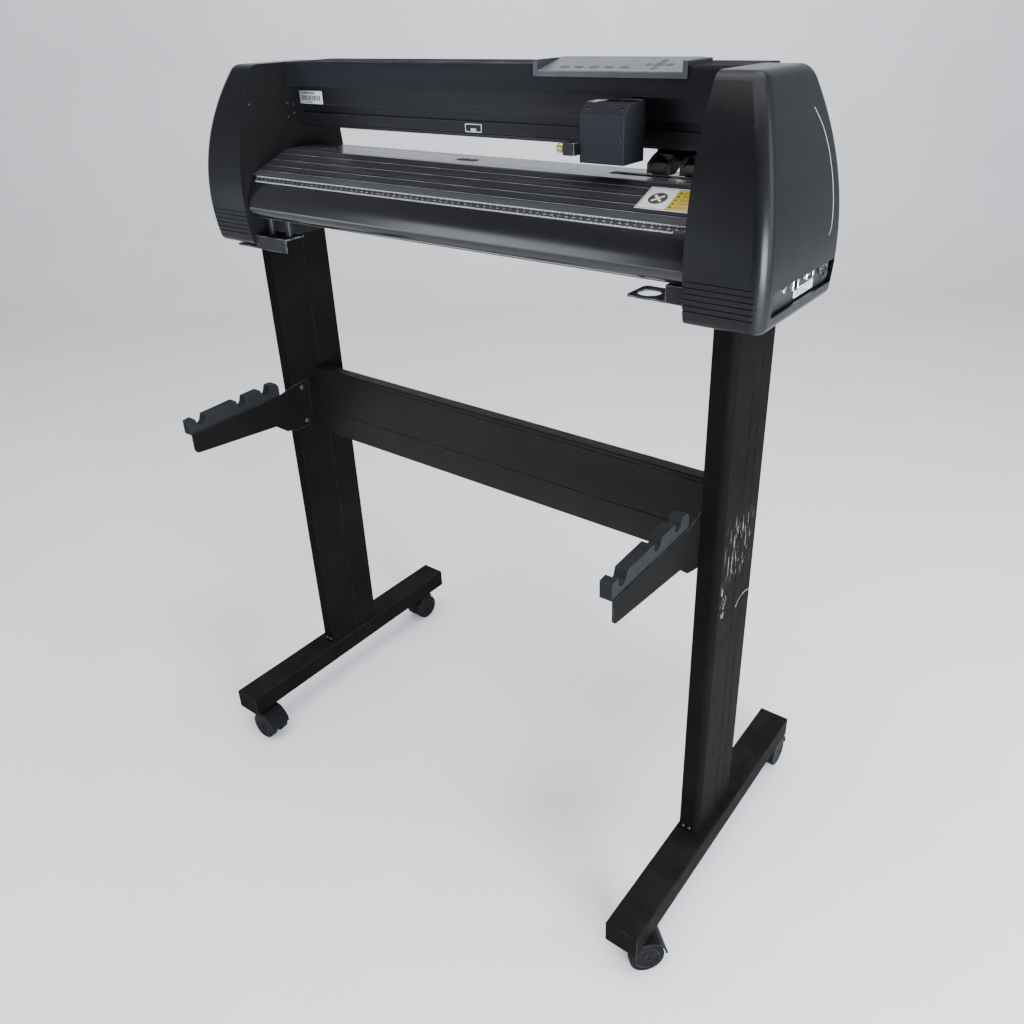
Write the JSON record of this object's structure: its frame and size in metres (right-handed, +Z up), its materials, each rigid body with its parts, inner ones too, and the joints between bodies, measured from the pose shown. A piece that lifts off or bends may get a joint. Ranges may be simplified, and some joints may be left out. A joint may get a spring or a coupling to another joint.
{
  "type": "vinyl cutter",
  "caption": "Roll-fed vinyl cutter: grooved platen under a bridge with a sliding tool carriage and pinch rollers, keypad, two end housings, wheeled stand with roll rests.",
  "frame": {"origin": "on the floor, at the middle of the stand's footprint", "axes": "+Z up, +X to the operator's right along the media width, +Y to the machine's rear"},
  "size_m": [0.902, 0.5249, 1.1319],
  "materials": {
    "stand_paint": "satin powder coat, warm black",
    "arm_paint": "satin powder coat, dark brown-grey",
    "rest_rubber": "matt",
    "screw_steel": "plated, satin",
    "bracket_steel": "plated, satin",
    "plug_plastic": "moulded, fine grain",
    "hood_plastic": "moulded, semi-gloss",
    "wheel_plastic": "moulded, semi-gloss",
    "cap_plastic": "satin moulded",
    "plate_paint": "satin",
    "cover_paint": "satin anodised look, blue-grey",
    "beam_alloy": "anodised, satin",
    "rail_alloy": "anodised, satin",
    "platen_alloy": "bright anodised",
    "apron_paint": "semi-gloss",
    "pan_steel": "satin",
    "shaft_steel": "ground",
    "grit_steel": "knurled, matt",
    "bush_brass": "turned",
    "motor_steel": "plated, with black end",
    "belt_rubber": "matt",
    "pulley_alloy": "turned",
    "carriage_steel": "plated",
    "carriage_plastic": "satin moulded, grey-blue",
    "clamp_alloy": "anodised dark",
    "knob_brass": "knurled",
    "pinch_plastic": "moulded",
    "roller_rubber": "matt",
    "frame_plastic": "satin moulded, grey-blue",
    "membrane_film": "printed film, pale grey",
    "key_film": "printed, grey",
    "board_laminate": "solder resist, green",
    "port_steel": "satin",
    "rocker_plastic": "moulded, gloss"
  },
  "bodies": {
    "machine_and_stand": {"left_foot": "stand_paint", "right_foot": "stand_paint", "foot_end_plugs": "plug_plastic", "left_column": "stand_paint", "right_column": "stand_paint", "crossbar": "stand_paint", "stand_screws": "screw_steel", "roll_arms": "arm_paint", "roll_rests": "rest_rubber", "stand_brackets": "bracket_steel", "left_end_cap": "cap_plastic", "right_end_cap": "cap_plastic", "side_plates": "plate_paint", "beam": "beam_alloy", "beam_cover": "cover_paint", "guide_rail": "rail_alloy", "platen": "platen_alloy", "front_apron": "apron_paint", "base_pan": "pan_steel", "panel_frame": "frame_plastic", "panel_membrane": "membrane_film", "shaft_bearings": "bush_brass", "drive_motors": "motor_steel", "drive_belts": "belt_rubber", "main_board": "board_laminate", "port_panel": "port_steel"},
    "front_left_hood": {"front_left_caster_hood": "hood_plastic"},
    "front_left_wheels": {"front_left_caster_wheels": "wheel_plastic"},
    "front_right_hood": {"front_right_caster_hood": "hood_plastic"},
    "front_right_wheels": {"front_right_caster_wheels": "wheel_plastic"},
    "rear_left_hood": {"rear_left_caster_hood": "hood_plastic"},
    "rear_left_wheels": {"rear_left_caster_wheels": "wheel_plastic"},
    "rear_right_hood": {"rear_right_caster_hood": "hood_plastic"},
    "rear_right_wheels": {"rear_right_caster_wheels": "wheel_plastic"},
    "feed_shaft": {"grit_shaft": "shaft_steel", "grit_sleeves": "grit_steel"},
    "feed_motor_rotor": {"feed_motor_pulley": "pulley_alloy"},
    "carriage": {"carriage_plate": "carriage_steel", "carriage_cover": "carriage_plastic"},
    "drive_rotor": {"drive_pulley": "pulley_alloy"},
    "idler": {"idler_pulley": "pulley_alloy"},
    "tool": {"tool_clamp": "clamp_alloy"},
    "knob": {"clamp_knob": "knob_brass"},
    "power_switch": {"power_rocker": "rocker_plastic"},
    "left_pinch_carrier": {"left_pinch_block": "pinch_plastic"},
    "left_pinch_lever": {"left_pinch_arm": "pinch_plastic"},
    "left_pinch_wheel": {"left_pinch_roller": "roller_rubber"},
    "right_pinch_carrier": {"right_pinch_block": "pinch_plastic"},
    "right_pinch_lever": {"right_pinch_arm": "pinch_plastic"},
    "right_pinch_wheel": {"right_pinch_roller": "roller_rubber"},
    "key_1_button": {"key_1": "key_film"},
    "key_2_button": {"key_2": "key_film"},
    "key_3_button": {"key_3": "key_film"},
    "key_4_button": {"key_4": "key_film"},
    "key_5_button": {"key_5": "key_film"},
    "arrow_left_button": {"arrow_left": "key_film"},
    "arrow_right_button": {"arrow_right": "key_film"},
    "arrow_up_button": {"arrow_up": "key_film"},
    "arrow_down_button": {"arrow_down": "key_film"},
    "arrow_centre_button": {"arrow_centre": "key_film"}
  },
  "joints": [
    {"name": "front_left_caster_swivel", "type": "hinge", "parent": "machine_and_stand", "child": "front_left_hood", "pos_m": [-0.3955, -0.2225, 0.06], "axis": [0, 0, 1], "continuous": true},
    {"name": "front_left_caster_roll", "type": "hinge", "parent": "front_left_hood", "child": "front_left_wheels", "pos_m": [-0.3775, -0.2225, 0.025], "axis": [0, 1, 0], "continuous": true},
    {"name": "front_right_caster_swivel", "type": "hinge", "parent": "machine_and_stand", "child": "front_right_hood", "pos_m": [0.3955, -0.2225, 0.06], "axis": [0, 0, 1], "continuous": true},
    {"name": "front_right_caster_roll", "type": "hinge", "parent": "front_right_hood", "child": "front_right_wheels", "pos_m": [0.40707, -0.20871, 0.025], "axis": [-0.766, 0.6428, 0], "continuous": true},
    {"name": "rear_left_caster_swivel", "type": "hinge", "parent": "machine_and_stand", "child": "rear_left_hood", "pos_m": [-0.3955, 0.2225, 0.06], "axis": [0, 0, 1], "continuous": true},
    {"name": "rear_left_caster_roll", "type": "hinge", "parent": "rear_left_hood", "child": "rear_left_wheels", "pos_m": [-0.3955, 0.2045, 0.025], "axis": [1, 0, 0], "continuous": true},
    {"name": "rear_right_caster_swivel", "type": "hinge", "parent": "machine_and_stand", "child": "rear_right_hood", "pos_m": [0.3955, 0.2225, 0.06], "axis": [0, 0, 1], "continuous": true},
    {"name": "rear_right_caster_roll", "type": "hinge", "parent": "rear_right_hood", "child": "rear_right_wheels", "pos_m": [0.3955, 0.2405, 0.025], "axis": [-1, 0, 0], "continuous": true},
    {"name": "feed_spin", "type": "hinge", "parent": "machine_and_stand", "child": "feed_shaft", "pos_m": [0, 0.0214, 1.0008], "axis": [1, 0, 0], "continuous": true},
    {"name": "feed_motor_spin", "type": "hinge", "parent": "machine_and_stand", "child": "feed_motor_rotor", "pos_m": [-0.37, 0.0214, 0.9548], "axis": [1, 0, 0], "continuous": true},
    {"name": "carriage_slide", "type": "slide", "parent": "machine_and_stand", "child": "carriage", "axis": [1, 0, 0], "range_m": [-0.51, 0.11]},
    {"name": "drive_pulley_spin", "type": "hinge", "parent": "machine_and_stand", "child": "drive_rotor", "pos_m": [0.388, 0.016, 1.104], "axis": [0, 1, 0], "range_deg": [-770.6, 3565.5]},
    {"name": "idler_pulley_spin", "type": "hinge", "parent": "machine_and_stand", "child": "idler", "pos_m": [-0.344, 0.016, 1.104], "axis": [0, 1, 0], "range_deg": [-770.6, 3565.5]},
    {"name": "tool_lift", "type": "slide", "parent": "carriage", "child": "tool", "axis": [0, 0, 1], "range_m": [-0.003, 0], "stiffness_N_per_m": 200, "springref_m": 0.004},
    {"name": "clamp_knob_turn", "type": "hinge", "parent": "tool", "child": "knob", "pos_m": [0.16, -0.037, 1.041], "axis": [1, 0, 0], "range_deg": [-360, 0]},
    {"name": "power_rock", "type": "hinge", "parent": "machine_and_stand", "child": "power_switch", "pos_m": [0.441, 0.08, 0.9125], "axis": [0, 1, 0], "range_deg": [0, 16]},
    {"name": "left_pinch_slide", "type": "slide", "parent": "machine_and_stand", "child": "left_pinch_carrier", "axis": [1, 0, 0], "range_m": [-0.56, 0]},
    {"name": "left_pinch_lift", "type": "hinge", "parent": "left_pinch_carrier", "child": "left_pinch_lever", "pos_m": [0.262, 0.062, 1.0295], "axis": [1, 0, 0], "range_deg": [-10, 0], "stiffness_Nm_per_rad": 0.8, "springref_deg": 14.9},
    {"name": "left_pinch_spin", "type": "hinge", "parent": "left_pinch_lever", "child": "left_pinch_wheel", "pos_m": [0.262, 0.0214, 1.0161], "axis": [1, 0, 0], "continuous": true},
    {"name": "right_pinch_slide", "type": "slide", "parent": "machine_and_stand", "child": "right_pinch_carrier", "axis": [1, 0, 0], "range_m": [-0.002, 0.012]},
    {"name": "right_pinch_lift", "type": "hinge", "parent": "right_pinch_carrier", "child": "right_pinch_lever", "pos_m": [0.304, 0.062, 1.0295], "axis": [1, 0, 0], "range_deg": [-10, 0], "stiffness_Nm_per_rad": 0.8, "springref_deg": 14.9},
    {"name": "right_pinch_spin", "type": "hinge", "parent": "right_pinch_lever", "child": "right_pinch_wheel", "pos_m": [0.304, 0.0214, 1.0161], "axis": [1, 0, 0], "continuous": true},
    {"name": "key_1_press", "type": "slide", "parent": "machine_and_stand", "child": "key_1_button", "axis": [0, -0.2284, 0.9736], "range_m": [-0.0004, 0], "stiffness_N_per_m": 600, "springref_m": 0.0004},
    {"name": "key_2_press", "type": "slide", "parent": "machine_and_stand", "child": "key_2_button", "axis": [0, -0.2284, 0.9736], "range_m": [-0.0004, 0], "stiffness_N_per_m": 600, "springref_m": 0.0004},
    {"name": "key_3_press", "type": "slide", "parent": "machine_and_stand", "child": "key_3_button", "axis": [0, -0.2284, 0.9736], "range_m": [-0.0004, 0], "stiffness_N_per_m": 600, "springref_m": 0.0004},
    {"name": "key_4_press", "type": "slide", "parent": "machine_and_stand", "child": "key_4_button", "axis": [0, -0.2284, 0.9736], "range_m": [-0.0004, 0], "stiffness_N_per_m": 600, "springref_m": 0.0004},
    {"name": "key_5_press", "type": "slide", "parent": "machine_and_stand", "child": "key_5_button", "axis": [0, -0.2284, 0.9736], "range_m": [-0.0004, 0], "stiffness_N_per_m": 600, "springref_m": 0.0004},
    {"name": "arrow_left_press", "type": "slide", "parent": "machine_and_stand", "child": "arrow_left_button", "axis": [0, -0.2284, 0.9736], "range_m": [-0.0004, 0], "stiffness_N_per_m": 600, "springref_m": 0.0004},
    {"name": "arrow_right_press", "type": "slide", "parent": "machine_and_stand", "child": "arrow_right_button", "axis": [0, -0.2284, 0.9736], "range_m": [-0.0004, 0], "stiffness_N_per_m": 600, "springref_m": 0.0004},
    {"name": "arrow_up_press", "type": "slide", "parent": "machine_and_stand", "child": "arrow_up_button", "axis": [0, -0.2284, 0.9736], "range_m": [-0.0004, 0], "stiffness_N_per_m": 600, "springref_m": 0.0004},
    {"name": "arrow_down_press", "type": "slide", "parent": "machine_and_stand", "child": "arrow_down_button", "axis": [0, -0.2284, 0.9736], "range_m": [-0.0004, 0], "stiffness_N_per_m": 600, "springref_m": 0.0004},
    {"name": "arrow_centre_press", "type": "slide", "parent": "machine_and_stand", "child": "arrow_centre_button", "axis": [0, -0.2284, 0.9736], "range_m": [-0.0004, 0], "stiffness_N_per_m": 600, "springref_m": 0.0004}
  ],
  "couplings": [
    {"joint": "feed_motor_spin", "follows": "feed_spin", "ratio": 2.6667},
    {"joint": "drive_pulley_spin", "follows": "carriage_slide", "rad_per_m": -121.95},
    {"joint": "idler_pulley_spin", "follows": "carriage_slide", "rad_per_m": -121.95}
  ]
}
